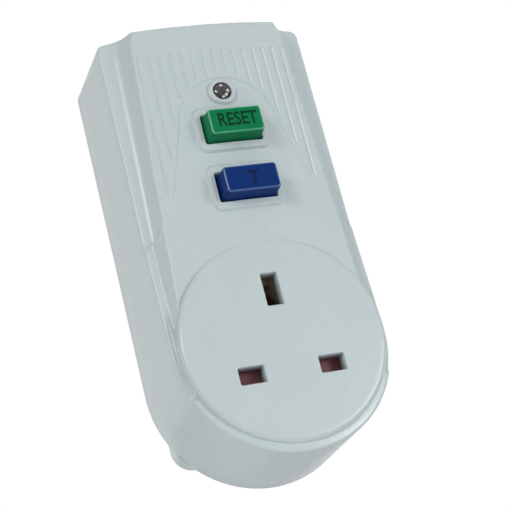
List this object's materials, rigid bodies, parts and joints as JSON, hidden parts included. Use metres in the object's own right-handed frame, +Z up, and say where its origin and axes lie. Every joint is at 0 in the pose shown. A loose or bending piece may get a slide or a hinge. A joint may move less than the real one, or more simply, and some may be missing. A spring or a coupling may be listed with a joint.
{
  "type": "rcd adapter plug",
  "caption": "Plug-in residual current adapter: fluted pale housing with a shuttered socket, a reset and a test button, an indicator lamp and pins behind.",
  "frame": {"origin": "plug face, midway between the line and neutral pins", "axes": "+Z up the housing, +Y along the pins into the wall, so the socket and buttons face -Y, +X to the right seen from the front"},
  "size_m": [0.0604, 0.0681, 0.1237],
  "materials": {
    "housing": "fine moulded grain, pale grey-white",
    "reset_green": "satin green",
    "test_blue": "satin dark blue",
    "lens_clear": "clear smoke-tinted moulding",
    "shutter_maroon": "matt dark red-brown",
    "block_cream": "matt heat-proof moulding",
    "pin_brass": "drawn and tumbled",
    "strip_brass": "stamped strip",
    "sleeve_black": "matt black insulation",
    "spring_wire": "drawn wire",
    "screw_zinc": "zinc plated",
    "steel_part": "stamped and plated",
    "contact_silver": "silver alloy faces",
    "board_green": "resist-coated laminate",
    "core_grey": "cast resin ring",
    "lead_brown": "insulated wire",
    "coil_copper": "enamelled wire, taken as one solid",
    "works_white": "natural nylon",
    "chip_black": "moulded package",
    "sleeve_navy": "shrunk sleeve",
    "disc_blue": "dipped coating",
    "mark_ink": "pad-printed button marks",
    "resistor_tan": "lacquered body"
  },
  "bodies": {
    "housing": {"front_cover": "housing", "rear_cover": "housing", "cover_screws": "screw_zinc", "reset_spring": "spring_wire", "test_spring": "spring_wire", "test_pads": "strip_brass", "indicator_lens": "lens_clear", "lamp_leads": "steel_part", "shutter_spring": "spring_wire", "socket_block": "block_cream", "line_contact": "strip_brass", "neutral_contact": "strip_brass", "earth_contact": "strip_brass", "line_pin": "pin_brass", "neutral_pin": "pin_brass", "earth_pin": "pin_brass", "pin_sleeves": "sleeve_black", "supply_strips": "strip_brass", "circuit_board": "board_green", "current_transformer": "core_grey", "primary_leads": "lead_brown", "coil_frame": "steel_part", "coil_bobbin": "works_white", "coil_winding": "coil_copper", "plunger_spring": "spring_wire", "latch_pivot": "steel_part", "mechanism_frame": "works_white", "fixed_contacts": "contact_silver", "control_chip": "chip_black", "smoothing_capacitor": "sleeve_navy", "surge_varistor": "disc_blue", "resistors": "resistor_tan"},
    "reset": {"reset_button": "reset_green", "contact_carriage": "works_white", "moving_contacts": "contact_silver"},
    "test": {"test_button": "test_blue"},
    "shutter": {"socket_shutter": "shutter_maroon"},
    "plunger": {"trip_plunger": "steel_part"},
    "latch": {"latch_lever": "steel_part"}
  },
  "joints": [
    {"name": "reset_press", "type": "slide", "parent": "housing", "child": "reset", "axis": [0, 1, 0], "range_m": [0, 0.0025], "stiffness_N_per_m": 800, "springref_m": -0.003, "deforming": ["reset_spring"]},
    {"name": "test_press", "type": "slide", "parent": "housing", "child": "test", "axis": [0, 1, 0], "range_m": [0, 0.0018], "stiffness_N_per_m": 700, "springref_m": -0.003, "deforming": ["test_spring"]},
    {"name": "shutter_slide", "type": "slide", "parent": "housing", "child": "shutter", "axis": [0, 0, -1], "range_m": [0, 0.0052], "stiffness_N_per_m": 150, "springref_m": -0.004, "deforming": ["shutter_spring"]},
    {"name": "trip_push", "type": "slide", "parent": "housing", "child": "plunger", "axis": [0, 0, -1], "range_m": [0, 0.0012], "stiffness_N_per_m": 300, "springref_m": -0.002, "deforming": ["plunger_spring"]},
    {"name": "latch_turn", "type": "hinge", "parent": "housing", "child": "latch", "pos_m": [0.0129, -0.0169, 0.06], "axis": [0, 1, 0], "range_deg": [0, 12]}
  ],
  "couplings": [
    {"joint": "latch_turn", "follows": "trip_push", "rad_per_m": 172.41}
  ]
}
